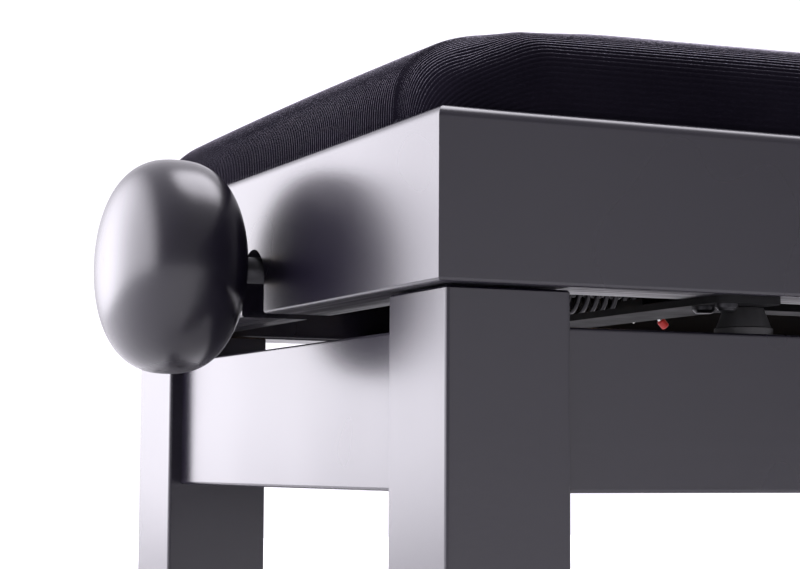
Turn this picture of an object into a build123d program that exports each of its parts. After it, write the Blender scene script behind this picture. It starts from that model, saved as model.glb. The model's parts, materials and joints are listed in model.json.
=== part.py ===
"""Height-adjustable piano bench.

A wooden base (four legs, four aprons) carries a padded wooden seat frame on a steel scissor lift.
A screw spindle with a turned wooden knob at each end draws a nut bar along the seat frame, which
raises the seat.  Frame: +X along the bench, +Z up, origin on the floor under the bench's centre.
Everything is drawn with the seat at its lowest height.  Millimetres.
"""
from build123d import *
import os
from math import asin, cos, degrees, pi, radians, sin, sqrt

os.makedirs("parts", exist_ok=True)

# ---- seat frame -----------------------------------------------------------------------------
SEAT_L = 555.0              # overall length and width of the seat frame
SEAT_W = 330.0
FRAME_Z = 393.0             # underside of the seat frame, lowest position
FRAME_H = 55.0
RAIL_T = 28.0
TOP_ROUND = 4.0
CORNER_ROUND = 1.2
FRAME_TOP = FRAME_Z + FRAME_H
HALF_L = SEAT_L / 2
HALF_W = SEAT_W / 2

# ---- base -----------------------------------------------------------------------------------
LEG = 44.0
LEG_INSET = 5.0             # leg faces behind the seat frame's faces
LEG_TOP = 392.3
LEG_ROUND = 1.3
LEG_CHAMFER = 0.8
FLAT_MARGIN = 4.0           # the leg's flat runs on past its bracket
GLIDE_H = 4.0
GLIDE_R = 11.0
GLIDE_EASE = 1.5
APRON_H = 53.0
APRON_T = 22.0
APRON_TOP = 381.0
APRON_ROUND = 1.2
APRON_INSET = 5.5           # apron faces behind the leg faces
LEG_X = HALF_L - LEG_INSET - LEG / 2
LEG_Y = HALF_W - LEG_INSET - LEG / 2
APRON_OUT_X = HALF_L - LEG_INSET - APRON_INSET
APRON_OUT_Y = HALF_W - LEG_INSET - APRON_INSET
APRON_IN_X = APRON_OUT_X - APRON_T
APRON_IN_Y = APRON_OUT_Y - APRON_T
LEG_IN_X = LEG_X - LEG / 2
LEG_IN_Y = LEG_Y - LEG / 2
QUADRANTS = [(-1, -1), (1, -1), (-1, 1), (1, 1)]

# ---- cushion --------------------------------------------------------------------------------
PAD_INSET = 4.5
PAD_TOP = 484.0
PAD_CORNER = 30.0
PAD_ROLL = 24.0
COVER_T = 1.2
HEM_T = 1.0
HEM_OPEN_L = 460.0
HEM_OPEN_W = 235.0
BOARD_T = 9.0
STAPLE_PITCH = 60.0
STAPLE_IN = 8.0             # staples outside the hem's opening
STAPLE_CROWN = 10.0
STAPLE_WIRE = 0.7
STAPLE_LEG = 6.0

# ---- scissor lift ---------------------------------------------------------------------------
STROKE = 90.0
AXIS_Z = 410.0              # spindle and upper pivots
LOWER_Z = 362.0             # lower pivots
PIVOT_X = 140.0             # fixed pivots, upper and lower
NUT_X = -106.0              # nut bar and roller shaft, seat at its lowest
LEAD = 3.0                  # of the spindle's thread
ARM_RISE = AXIS_Z - LOWER_Z
ARM_SPAN = PIVOT_X - NUT_X
ARM_LEN = sqrt(ARM_SPAN**2 + ARM_RISE**2)
ARM_ANGLE = degrees(asin(ARM_RISE / ARM_LEN))
ARM_ANGLE_UP = degrees(asin((ARM_RISE + STROKE) / ARM_LEN))
NUT_TRAVEL = ARM_SPAN - ARM_LEN * cos(radians(ARM_ANGLE_UP))
CENTRE_X = (PIVOT_X + NUT_X) / 2
CENTRE_Z = (AXIS_Z + LOWER_Z) / 2
ARM_H = 20.0
ARM_T = 3.0
INNER_ARM_Y = 116.0         # inner faces of the two arm planes
OUTER_ARM_Y = 121.0
PIN_R = 5.0
SHAFT_CHAMFER = 0.5
RUNNING = 0.05              # radial clearance of the running fits
HOLE_PLAY = 0.3             # radial clearance of screw and bolt holes
SIDE_PLAY = 0.3             # gap between parts that slide or turn past each other
SLOT_PLAY = 0.4             # half the spare width of the outer arm's slot
PAST = 30.0                 # how far a cutting tool runs through
SLOT_RUN = 6.0              # length of the outer arm's slot beyond its eye
CENTRE_R = 4.0
RIVET_HEAD_R = 9.0
RIVET_TAIL_R = 7.0
CENTRE_PLAY = 2.1           # play round the centre rivet, which is the opened pivot
STEEL_T = 2.5
WEB_Y = 107.0               # inner face of an upper rail's web
LOWER_WEB_Y = APRON_IN_Y - STEEL_T
RAIL_HALF = 172.0
ROLLER_R = 7.0
TRACK_LOW = 352.6
TRACK_HIGH = 369.4
TRACK_IN_Y = 119.7
CROSSBAR_X = 161.0
CROSSBAR_W = 25.0
CROSSBAR_Z = FRAME_Z - STEEL_T
BEARING_X = 170.5           # inner face of a bearing plate
NUT_BAR = 16.0
SPRING_R = 13.0
WIRE = 2.2
SPRING_PITCH = 4.3

# ---- knobs ----------------------------------------------------------------------------------
KNOB_X = 310.5
KNOB_R = 40.0
KNOB_HALF = 25.5
KNOB_SHAPE = 2.5            # exponent of the superellipse profile
KNOB_STEPS = 14
BUSH_R = 7.0
BUSH_L = 24.0
SPINDLE_END = 307.0
END_CHAMFER = 0.8
COLLAR_R = 9.0
COLLAR_W = 8.0

NOTCH_W = 24.0
NOTCH_TOP = 418.0
BUFFER_X = 153.5
BUFFER_Y = (APRON_OUT_Y + APRON_IN_Y) / 2 + 1.0

# ---- fasteners and small parts --------------------------------------------------------------
SCREW_R = 2.1
HEAD_R = 3.8
HEAD_H = 2.4
HEAD_EASE = 1.1
SCREW_POINT = 3.0
NAIL_R = 1.3
NAIL_L = 14.0
BRACKET_Z = 335.0
BRACKET_H = 40.0
BRACKET_D = 343.6           # |x| + |y| on a bracket's face towards its leg
BRACKET_ARM = 26.0          # flange along each apron
BOLT_ZS = (345.0, 365.0)
BOLT_R = 4.0
NUT_ACROSS = 13.0
BOLT_X = (BRACKET_D + LEG_IN_X - LEG_IN_Y) / 2
BOLT_Y = BRACKET_D - BOLT_X
CORNER_CUT = 10.0
BUFFER_FLANGE_R = 9.9
BUFFER_FLANGE_H = 2.2
BUFFER_FOOT_R = 9.3
BUFFER_FOOT_H = 2.6
BUFFER_TIP_R = 6.9
BUFFER_RECESS_R = 4.6
BUFFER_RECESS_Z = 5.0
RAIL_SCREW_SPOTS = [(-160.0, 362.0), (20.0, 353.0), (162.0, 362.0)]
LOWER_WEB_LOW = 347.0
LOWER_WEB_HIGH = 376.0
TRACK_LEFT = -122.0
TRACK_RIGHT = -50.0
CROSSBAR_SCREWS = [(168.0, 142.5), (168.0, 156.5)]
UPPER_WEB_H = 32.0
UPPER_FLANGE = 15.0
BEARING_HALF_W = 16.0
BEARING_H = 35.0
BEARING_FOOT = 20.0
BLOCK_Z = 405.0
BLOCK_TOP = 446.0
BLOCK_LEG = 40.0
BLOCK_SCREW = (236.0, 124.0)
BUSH_FROM = 285.5
COTTER_X = -109.0
COTTER_Y = -11.0
COTTER_R = 1.2
LEG_WIRE_R = 0.9
EYE_R = 2.2
PIN_LEGS = [(-8.5, 5.6), (4.5, 4.6)]    # reach and drop of the split pin's legs
CAP_R = 1.7
CAP_L = 3.8
RING_R = 8.0                # spacers and clips on the shafts
CLIP_T = 1.2


def save(builder, name):
    """Label a finished piece and write it as its own STEP file."""
    builder.part.label = name
    export_step(builder.part, f"parts/{name}.step")


# ---- base: legs and aprons ------------------------------------------------------------------
def leg(sx, sy, name):
    """Square leg with eased edges, a flat for the corner bracket and its bolt holes."""
    with BuildPart() as post:
        with BuildSketch(Plane.XY.offset(GLIDE_H)):
            with Locations((sx * LEG_X, sy * LEG_Y)):
                RectangleRounded(LEG, LEG, LEG_ROUND)
        extrude(amount=LEG_TOP - GLIDE_H)
        chamfer(post.faces().sort_by(Axis.Z)[-1].edges(), LEG_CHAMFER)
        with BuildSketch(Plane.XY.offset(BRACKET_Z - FLAT_MARGIN)):
            with BuildLine():
                Polyline(
                    (sx * (LEG_IN_X - 1), sy * (LEG_IN_Y - 1)),
                    (sx * (LEG_IN_X + CORNER_CUT + 1), sy * (LEG_IN_Y - 1)),
                    (sx * (LEG_IN_X - 1), sy * (LEG_IN_Y + CORNER_CUT + 1)),
                    close=True,
                )
            make_face()
        extrude(amount=BRACKET_H + 2 * FLAT_MARGIN, mode=Mode.SUBTRACT)
        for z in BOLT_ZS:
            with Locations(diagonal(sx, sy, z)):
                Cylinder(BOLT_R + RUNNING, 3 * PAST, mode=Mode.SUBTRACT)
        with Locations((sx * LEG_X, sy * LEG_Y, GLIDE_H)):
            Cylinder(NAIL_R, 2 * NAIL_L, mode=Mode.SUBTRACT)
    save(post, name)


def diagonal(sx, sy, z):
    """Plane on a corner bracket's outer face, looking into the leg."""
    return Plane(origin=(sx * BOLT_X, sy * BOLT_Y, z), z_dir=(sx, sy, 0))


def apron(side, name):
    """Apron between two legs: side is the outward normal (x, y)."""
    nx, ny = side
    half = LEG_IN_X if ny else LEG_IN_Y
    outer = APRON_OUT_Y if ny else APRON_OUT_X
    with BuildPart() as board:
        with BuildSketch(Plane(origin=(0, 0, 0), x_dir=(nx, ny, 0), z_dir=(ny, -nx, 0))):
            with Locations((outer - APRON_T / 2, APRON_TOP - APRON_H / 2)):
                RectangleRounded(APRON_T, APRON_H, APRON_ROUND)
        extrude(amount=half, both=True)
    save(board, name)


def corner_brackets():
    """Pressed steel plates across the corners, flanged against both aprons."""
    t = STEEL_T
    inner = BRACKET_D - t * sqrt(2)
    x_face = APRON_IN_X
    y_face = APRON_IN_Y
    with BuildPart() as brackets:
        for sx, sy in QUADRANTS:
            outline = [
                (BRACKET_D - y_face - BRACKET_ARM, y_face),
                (BRACKET_D - y_face, y_face),
                (x_face, BRACKET_D - x_face),
                (x_face, BRACKET_D - x_face - BRACKET_ARM),
                (x_face - t, BRACKET_D - x_face - BRACKET_ARM),
                (x_face - t, inner - x_face + t),
                (inner - y_face + t, y_face - t),
                (BRACKET_D - y_face - BRACKET_ARM, y_face - t),
            ]
            with BuildSketch(Plane.XY.offset(BRACKET_Z)):
                with BuildLine():
                    Polyline([(sx * x, sy * y) for x, y in outline], close=True)
                make_face()
            extrude(amount=BRACKET_H)
            for z in BOLT_ZS:
                with Locations(diagonal(sx, sy, z)):
                    Cylinder(BOLT_R + HOLE_PLAY, PAST, mode=Mode.SUBTRACT)
            for plane in bracket_screw_planes(sx, sy):
                with Locations(plane):
                    Cylinder(SCREW_R + HOLE_PLAY, PAST / 3, mode=Mode.SUBTRACT)
    save(brackets, "corner_brackets")


def bracket_screw_planes(sx, sy):
    """Where the brackets' screws enter the aprons, each plane's normal into the wood."""
    x_end = BRACKET_D - APRON_IN_Y - BRACKET_ARM / 2 - 2
    y_end = BRACKET_D - APRON_IN_X - BRACKET_ARM / 2 - 2
    for z in BOLT_ZS:
        yield Plane(origin=(sx * x_end, sy * (APRON_IN_Y - STEEL_T), z), z_dir=(0, sy, 0))
        yield Plane(origin=(sx * (APRON_IN_X - STEEL_T), sy * y_end, z), z_dir=(sx, 0, 0))


def leg_bolts():
    """Hanger bolts in the legs, each with a washer and a hexagon nut behind the bracket."""
    reach = 30.0
    behind = STEEL_T + 11.0
    washer_t = 1.5
    nut_t = 6.5
    with BuildPart() as bolts:
        for sx, sy in QUADRANTS:
            for z in BOLT_ZS:
                with Locations(diagonal(sx, sy, z)):
                    with Locations((0, 0, (reach - behind) / 2)):
                        Cylinder(BOLT_R, reach + behind)
    save(bolts, "leg_hanger_bolts")
    with BuildPart() as washers:
        for sx, sy in QUADRANTS:
            for z in BOLT_ZS:
                with BuildSketch(diagonal(sx, sy, z).offset(-STEEL_T)):
                    Circle(2 * BOLT_R)
                    Circle(BOLT_R + HOLE_PLAY, mode=Mode.SUBTRACT)
                extrude(amount=-washer_t)
    save(washers, "leg_bolt_washers")
    with BuildPart() as nuts:
        for sx, sy in QUADRANTS:
            for z in BOLT_ZS:
                with BuildSketch(diagonal(sx, sy, z).offset(-STEEL_T - washer_t)):
                    RegularPolygon(NUT_ACROSS / sqrt(3), 6)
                    Circle(BOLT_R + RUNNING, mode=Mode.SUBTRACT)
                extrude(amount=-nut_t)
    save(nuts, "leg_bolt_nuts")


def pan_head_screws(planes, length, name):
    """Group of wood screws; each plane lies under a head, its normal along the screw."""
    with BuildPart() as screws:
        for plane in planes:
            side = Plane(plane.origin, x_dir=plane.x_dir, z_dir=plane.y_dir * -1)
            with BuildSketch(side):
                with BuildLine():
                    Polyline(
                        (0, -HEAD_H),
                        (HEAD_R - HEAD_EASE, -HEAD_H),
                        (HEAD_R, -HEAD_H + HEAD_EASE),
                        (HEAD_R, 0),
                        (SCREW_R, 0),
                        (SCREW_R, length - SCREW_POINT),
                        (0, length),
                        close=True,
                    )
                make_face()
            revolve(axis=Axis(plane.origin, plane.z_dir))
    save(screws, name)


def foot_glides():
    """Nylon nail-on glides under the legs."""
    with BuildPart() as glides:
        for sx, sy in QUADRANTS:
            foot = (sx * LEG_X, sy * LEG_Y, 0)
            with BuildSketch(Plane(origin=foot, x_dir=(1, 0, 0), z_dir=(0, -1, 0))):
                with BuildLine():
                    Polyline(
                        (0, 0),
                        (GLIDE_R - GLIDE_EASE, 0),
                        (GLIDE_R, GLIDE_EASE),
                        (GLIDE_R, GLIDE_H),
                        (NAIL_R, GLIDE_H),
                    )
                    Polyline(
                        (NAIL_R, GLIDE_H),
                        (NAIL_R, GLIDE_H + NAIL_L - 2),
                        (0, GLIDE_H + NAIL_L),
                        (0, 0),
                    )
                make_face()
            revolve(axis=Axis(foot, (0, 0, 1)))
    save(glides, "foot_glides")


def buffers():
    """Rubber cones on the long aprons that the seat's crossbars come down on."""
    height = CROSSBAR_Z - SIDE_PLAY - APRON_TOP
    with BuildPart() as cones:
        for sx, sy in QUADRANTS:
            spot = (sx * BUFFER_X, sy * BUFFER_Y, APRON_TOP)
            with BuildSketch(Plane(origin=spot, x_dir=(1, 0, 0), z_dir=(0, -1, 0))):
                with BuildLine():
                    Polyline(
                        (SCREW_R, 0),
                        (BUFFER_FLANGE_R, 0),
                        (BUFFER_FLANGE_R, BUFFER_FLANGE_H),
                        (BUFFER_FOOT_R, BUFFER_FOOT_H),
                        (BUFFER_TIP_R, height),
                        (BUFFER_RECESS_R, height),
                        (BUFFER_RECESS_R, BUFFER_RECESS_Z),
                        (SCREW_R, BUFFER_RECESS_Z),
                        close=True,
                    )
                make_face()
            revolve(axis=Axis(spot, (0, 0, 1)))
    save(cones, "rubber_buffers")


# ---- scissor lift: fixed to the base --------------------------------------------------------
def lower_rail(sy, name):
    """Flat bar on a long apron, with the fixed pivot's hole and the roller's channel."""
    with BuildPart() as rail:
        web = LOWER_WEB_HIGH - LOWER_WEB_LOW
        with Locations((0, sy * (LOWER_WEB_Y + STEEL_T / 2), LOWER_WEB_LOW + web / 2)):
            Box(2 * RAIL_HALF, STEEL_T, web)
        depth = LOWER_WEB_Y - TRACK_IN_Y
        middle = ((TRACK_LEFT + TRACK_RIGHT) / 2, sy * (TRACK_IN_Y + depth / 2))
        for z in (TRACK_LOW - STEEL_T / 2, TRACK_HIGH + STEEL_T / 2):
            with Locations((*middle, z)):
                Box(TRACK_RIGHT - TRACK_LEFT, depth, STEEL_T)
        with Locations(Plane(origin=(PIVOT_X, sy * LOWER_WEB_Y, LOWER_Z), z_dir=(0, sy, 0))):
            Cylinder(PIN_R + RUNNING, PAST / 2, mode=Mode.SUBTRACT)
        for x, z in RAIL_SCREW_SPOTS:
            with Locations(Plane(origin=(x, sy * LOWER_WEB_Y, z), z_dir=(0, sy, 0))):
                Cylinder(SCREW_R + HOLE_PLAY, PAST / 2, mode=Mode.SUBTRACT)
    save(rail, name)


def round_bar(x, z, half, radius, name):
    """Plain shaft across the bench."""
    with BuildPart() as shaft:
        with BuildSketch(Plane(origin=(x, 0, z), z_dir=(0, 1, 0))):
            Circle(radius)
        extrude(amount=half, both=True)
        chamfer(shaft.edges().filter_by(GeomType.CIRCLE), SHAFT_CHAMFER)
    save(shaft, name)


def rings(x, z, y_from, y_to, outer, inner, name):
    """A ring on each side of the bench between two distances from its middle."""
    with BuildPart() as pair:
        for sy in (-1, 1):
            with BuildSketch(Plane(origin=(x, sy * y_from, z), z_dir=(0, sy, 0))):
                Circle(outer)
                Circle(inner, mode=Mode.SUBTRACT)
            extrude(amount=y_to - y_from)
    save(pair, name)


# ---- seat: wooden frame and cushion ---------------------------------------------------------
def seat_rail(side, name):
    """One rail of the seat frame, mitred at both ends: side is its outward normal (x, y)."""
    nx, ny = side
    half = HALF_L if ny else HALF_W
    outer = HALF_W if ny else HALF_L
    along = (ny, -nx, 0)
    with BuildPart() as rail:
        with BuildSketch(Plane(origin=(0, 0, 0), x_dir=(nx, ny, 0), z_dir=along)) as profile:
            with Locations((outer - RAIL_T / 2, FRAME_Z + FRAME_H / 2)):
                Rectangle(RAIL_T, FRAME_H)
            fillet(profile.vertices().group_by(Axis.Y)[0], CORNER_ROUND)
            top = profile.vertices().group_by(Axis.Y)[-1].sort_by(Axis.X)
            fillet(top[0], CORNER_ROUND)
            top = profile.vertices().group_by(Axis.Y)[-1].sort_by(Axis.X)
            fillet(top[-1], TOP_ROUND)
        extrude(amount=half, both=True)
        plan = Plane(origin=(0, 0, FRAME_Z - 1), x_dir=along, z_dir=(0, 0, 1))
        deep = 2 * RAIL_T
        with BuildSketch(plan):
            with BuildLine():
                Polyline(
                    (half + 1, outer + 1),
                    (-half - 1, outer + 1),
                    (-half + deep, outer - deep),
                    (half - deep, outer - deep),
                    close=True,
                )
            make_face()
        extrude(amount=FRAME_H + 2, mode=Mode.INTERSECT)
        middle = CORNER_ROUND * (1 - sqrt(0.5))
        with BuildSketch(plan):
            for end in (-1, 1):
                with BuildLine():
                    ThreePointArc(
                        (end * half, outer - CORNER_ROUND),
                        (end * (half - middle), outer - middle),
                        (end * (half - CORNER_ROUND), outer),
                    )
                    Polyline(
                        (end * (half - CORNER_ROUND), outer),
                        (end * (half - CORNER_ROUND), outer + 1),
                        (end * (half + 1), outer + 1),
                        (end * (half + 1), outer - CORNER_ROUND),
                        (end * half, outer - CORNER_ROUND),
                    )
                make_face()
        extrude(amount=FRAME_H + 2, mode=Mode.SUBTRACT)
        if nx:
            notch = Plane(
                origin=(nx * (outer - RAIL_T - 1), 0, 0), x_dir=(0, nx, 0), z_dir=(nx, 0, 0)
            )
            with BuildSketch(notch):
                with Locations((0, NOTCH_TOP - NOTCH_W / 2)):
                    Circle(NOTCH_W / 2)
                with Locations((0, FRAME_Z - 1)):
                    Rectangle(
                        NOTCH_W,
                        NOTCH_TOP - NOTCH_W / 2 - FRAME_Z + 1,
                        align=(Align.CENTER, Align.MIN),
                    )
            extrude(amount=RAIL_T + 2, mode=Mode.SUBTRACT)
    save(rail, name)


def corner_blocks():
    """Glued triangular blocks in the seat frame's corners, bored for the cushion's screws."""
    x_in = HALF_L - RAIL_T
    y_in = HALF_W - RAIL_T
    with BuildPart() as blocks:
        for sx, sy in QUADRANTS:
            with BuildSketch(Plane.XY.offset(BLOCK_Z)):
                with BuildLine():
                    Polyline(
                        (sx * x_in, sy * y_in),
                        (sx * (x_in - BLOCK_LEG), sy * y_in),
                        (sx * x_in, sy * (y_in - BLOCK_LEG)),
                        close=True,
                    )
                make_face()
            extrude(amount=BLOCK_TOP - BLOCK_Z)
            with Locations((sx * BLOCK_SCREW[0], sy * BLOCK_SCREW[1], BLOCK_Z)):
                Cylinder(SCREW_R + HOLE_PLAY, 4 * PAST, mode=Mode.SUBTRACT)
    save(blocks, "seat_corner_blocks")


def pad_body(grow, low, high, roll):
    """Upholstery outline at a given inset, its top edges rolled over."""
    length = SEAT_L - 2 * PAD_INSET - 2 * grow
    width = SEAT_W - 2 * PAD_INSET - 2 * grow
    with BuildPart() as body:
        with BuildSketch(Plane.XY.offset(low)):
            RectangleRounded(length, width, PAD_CORNER - grow)
        extrude(amount=high - low)
        if roll:
            fillet(body.faces().sort_by(Axis.Z)[-1].edges(), roll)
    return body.part


def cushion():
    """Plywood board, foam block and the fabric cover that wraps both."""
    board_low = FRAME_TOP + HEM_T
    board_top = board_low + BOARD_T
    foam_top = PAD_TOP - COVER_T
    inner_roll = PAD_ROLL - COVER_T
    outer = pad_body(0, FRAME_TOP, PAD_TOP, PAD_ROLL)
    cavity = pad_body(COVER_T, board_low, foam_top, inner_roll)
    slab = pad_body(COVER_T, board_low, board_top, 0)
    with BuildPart() as board:
        add(slab)
    save(board, "seat_board")
    with BuildPart() as foam:
        add(cavity)
        with Locations((0, 0, board_top)):
            below = (Align.CENTER, Align.CENTER, Align.MAX)
            Box(SEAT_L, SEAT_W, PAST, align=below, mode=Mode.SUBTRACT)
    save(foam, "seat_foam")
    with BuildPart() as cover:
        add(outer)
        add(cavity, mode=Mode.SUBTRACT)
        with Locations((0, 0, FRAME_TOP)):
            Box(HEM_OPEN_L, HEM_OPEN_W, 4 * HEM_T, mode=Mode.SUBTRACT)
    save(cover, "seat_cover")


def cover_staples():
    """Staples that hold the cover's hem to the board from below."""
    half_x = HEM_OPEN_L / 2 + STAPLE_IN
    half_y = HEM_OPEN_W / 2 + STAPLE_IN
    spots = [(i * STAPLE_PITCH, sy * half_y, 0) for sy in (-1, 1) for i in range(-3, 4)]
    spots += [(sx * half_x, i * STAPLE_PITCH, 90) for sx in (-1, 1) for i in (-1, 0, 1)]
    leg_x = (STAPLE_CROWN - STAPLE_WIRE) / 2
    upward = (Align.CENTER, Align.CENTER, Align.MIN)
    with BuildPart() as staples:
        for x, y, turn in spots:
            with Locations(Location((x, y, FRAME_TOP - STAPLE_WIRE / 2), (0, 0, turn))):
                Box(STAPLE_CROWN, STAPLE_WIRE, STAPLE_WIRE)
                with Locations((-leg_x, 0, 0), (leg_x, 0, 0)):
                    Box(STAPLE_WIRE, STAPLE_WIRE, STAPLE_LEG, align=upward)
    save(staples, "cover_staples")


# ---- seat: upper half of the scissor lift ---------------------------------------------------
def crossbar(sx, name):
    """Flat steel bar under the long rails of the seat frame."""
    with BuildPart() as bar:
        with BuildSketch(Plane.XY.offset(CROSSBAR_Z)):
            with Locations((sx * CROSSBAR_X, 0)):
                RectangleRounded(CROSSBAR_W, 2 * (HALF_W - 3), 4)
            with Locations(*[(sx * x, sy * y) for x, y in CROSSBAR_SCREWS for sy in (-1, 1)]):
                Circle(SCREW_R + HOLE_PLAY, mode=Mode.SUBTRACT)
        extrude(amount=STEEL_T)
    save(bar, name)


def upper_rail(sy, name):
    """Steel angle along the crossbars: stud hole at one end, the nut bar's slot at the other."""
    with BuildPart() as rail:
        with Locations((0, sy * WEB_Y, FRAME_Z)):
            Box(
                2 * RAIL_HALF,
                STEEL_T,
                UPPER_WEB_H,
                align=(Align.CENTER, Align.MIN if sy > 0 else Align.MAX, Align.MIN),
            )
            Box(
                2 * RAIL_HALF,
                UPPER_FLANGE,
                STEEL_T,
                align=(Align.CENTER, Align.MAX if sy > 0 else Align.MIN, Align.MIN),
            )
        with BuildSketch(arm_plane(WEB_Y - 2 * STEEL_T, sy)):
            with Locations((-sy * PIVOT_X, AXIS_Z)):
                Circle(PIN_R + RUNNING)
            with Locations((-sy * (NUT_X + NUT_TRAVEL / 2), AXIS_Z)):
                SlotCenterToCenter(NUT_TRAVEL + 4, 2 * (PIN_R + SIDE_PLAY))
        extrude(amount=4 * STEEL_T, mode=Mode.SUBTRACT)
    save(rail, name)


def bearing(sx, name):
    """Bent steel plate on a crossbar, with the spindle's bearing hole."""
    with BuildPart() as plate:
        with BuildSketch(Plane.XZ.offset(-BEARING_HALF_W)):
            with BuildLine():
                Polyline(
                    (sx * BEARING_X, FRAME_Z + STEEL_T),
                    (sx * (BEARING_X - BEARING_FOOT), FRAME_Z + STEEL_T),
                    (sx * (BEARING_X - BEARING_FOOT), FRAME_Z),
                    (sx * (BEARING_X + STEEL_T), FRAME_Z),
                    (sx * (BEARING_X + STEEL_T), FRAME_Z + BEARING_H),
                    (sx * BEARING_X, FRAME_Z + BEARING_H),
                    close=True,
                )
            make_face()
        extrude(amount=2 * BEARING_HALF_W)
        with Locations(Plane(origin=(sx * BEARING_X, 0, AXIS_Z), z_dir=(1, 0, 0))):
            Cylinder(PIN_R + RUNNING, PAST, mode=Mode.SUBTRACT)
    save(plate, name)


def upper_studs():
    """Shouldered studs in the upper rails that carry the inner arms."""
    with BuildPart() as studs:
        for sy in (-1, 1):
            base = Plane(origin=(PIVOT_X, sy * WEB_Y, AXIS_Z), z_dir=(0, sy, 0))
            with BuildSketch(base.offset(-2)):
                Circle(PIN_R)
            extrude(amount=OUTER_ARM_Y - SIDE_PLAY - WEB_Y + 2)
            with BuildSketch(base.offset(STEEL_T)):
                Circle(RING_R)
            extrude(amount=INNER_ARM_Y - SIDE_PLAY - WEB_Y - STEEL_T)
    save(studs, "upper_pivot_studs")


# ---- spindle with its knobs -----------------------------------------------------------------
def spindle():
    """Steel rod through both knobs, chamfered at the ends."""
    with BuildPart() as rod:
        with BuildSketch(Plane(origin=(0, 0, AXIS_Z), z_dir=(1, 0, 0))):
            Circle(PIN_R)
        extrude(amount=SPINDLE_END, both=True)
        chamfer(rod.edges().filter_by(GeomType.CIRCLE), END_CHAMFER)
    save(rod, "spindle")
    with BuildPart() as collars:
        for sx in (-1, 1):
            face = Plane(origin=(sx * (BEARING_X - SIDE_PLAY), 0, AXIS_Z), z_dir=(-sx, 0, 0))
            with BuildSketch(face):
                Circle(COLLAR_R)
                Circle(PIN_R + RUNNING, mode=Mode.SUBTRACT)
            extrude(amount=COLLAR_W)
    save(collars, "spindle_collars")
    with BuildPart() as bushes:
        for sx in (-1, 1):
            with BuildSketch(Plane(origin=(sx * BUSH_FROM, 0, AXIS_Z), z_dir=(sx, 0, 0))):
                Circle(BUSH_R)
                Circle(PIN_R + RUNNING, mode=Mode.SUBTRACT)
            extrude(amount=BUSH_L)
    save(bushes, "knob_bushes")


def knob(sx, name):
    """Turned wooden knob: a flattened ball bored from the inside for its bush."""
    outline = []
    for i in range(KNOB_STEPS + 1):
        t = pi * i / KNOB_STEPS - pi / 2
        along = abs(sin(t)) ** (2 / KNOB_SHAPE) * (1 if t > 0 else -1)
        radius = KNOB_R * max(cos(t), 0) ** (2 / KNOB_SHAPE)
        outline.append((sx * KNOB_X + KNOB_HALF * along, AXIS_Z + radius))
    outline[0] = (sx * KNOB_X - KNOB_HALF, AXIS_Z)
    outline[-1] = (sx * KNOB_X + KNOB_HALF, AXIS_Z)
    with BuildPart() as ball:
        with BuildSketch(Plane.XZ):
            with BuildLine():
                Spline(*outline, tangents=((0, 1), (0, -1)))
                Line(outline[-1], outline[0])
            make_face()
        revolve(axis=Axis((0, 0, AXIS_Z), (1, 0, 0)))
        mouth = KNOB_X - KNOB_HALF - 1
        with BuildSketch(Plane(origin=(sx * mouth, 0, AXIS_Z), z_dir=(sx, 0, 0))):
            Circle(BUSH_R + RUNNING)
        extrude(amount=BUSH_FROM + BUSH_L - mouth, mode=Mode.SUBTRACT)
    save(ball, name)


# ---- nut bar, arms and spring ---------------------------------------------------------------
def nut_bar():
    """Square bar tapped for the spindle, turned down at both ends to carry the outer arms."""
    with BuildPart() as bar:
        with Locations((NUT_X, 0, AXIS_Z)):
            Box(NUT_BAR, 2 * (WEB_Y - STEEL_T), NUT_BAR)
        with BuildSketch(Plane(origin=(NUT_X, 0, AXIS_Z), z_dir=(0, 1, 0))):
            Circle(PIN_R)
        extrude(amount=OUTER_ARM_Y + ARM_T + 3, both=True)
        with Locations(Plane(origin=(NUT_X, 0, AXIS_Z), z_dir=(1, 0, 0))):
            Cylinder(PIN_R + RUNNING, 2 * NUT_BAR, mode=Mode.SUBTRACT)
        with Locations((COTTER_X, COTTER_Y, AXIS_Z)):
            Cylinder(COTTER_R + HOLE_PLAY, 2 * NUT_BAR, mode=Mode.SUBTRACT)
    save(bar, "nut_bar")


def split_pin():
    """Split pin through the nut bar: its eye on top, its legs bent apart below, one capped."""
    top = AXIS_Z + NUT_BAR / 2 + EYE_R - LEG_WIRE_R
    low = AXIS_Z - NUT_BAR / 2 - COTTER_R
    start = Vector(COTTER_X, COTTER_Y, low)
    with BuildPart() as pin:
        with BuildLine():
            Line((COTTER_X, COTTER_Y, top), start)
        with BuildSketch(Plane(origin=(COTTER_X, COTTER_Y, top), z_dir=(0, 0, -1))):
            Circle(COTTER_R)
        sweep()
        for reach, drop in PIN_LEGS:
            with BuildLine():
                Line(start, start + Vector(reach, 0, -drop))
            with BuildSketch(Plane(origin=start, z_dir=(reach, 0, -drop))):
                Circle(LEG_WIRE_R)
            sweep()
        with Locations(Plane(origin=(COTTER_X, COTTER_Y, top + EYE_R - 0.5), z_dir=(0, 1, 0))):
            Torus(EYE_R, LEG_WIRE_R)
    save(pin, "split_pin")
    reach, drop = PIN_LEGS[-1]
    way = Vector(reach, 0, -drop)
    clear = way.normalized() * RUNNING
    with BuildPart() as cap:
        with BuildSketch(Plane(origin=start + way + clear, z_dir=way)):
            Circle(CAP_R)
        extrude(amount=CAP_L)
        fillet(cap.edges().filter_by(GeomType.CIRCLE), CAP_R / 3)
    save(cap, "pin_cap")


def arm_plane(y, sy):
    """Upright plane across the bench for an arm's outline: local x is -sy * x, local y is z."""
    return Plane(origin=(0, sy * y, 0), x_dir=(-sy, 0, 0), z_dir=(0, sy, 0))


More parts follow.
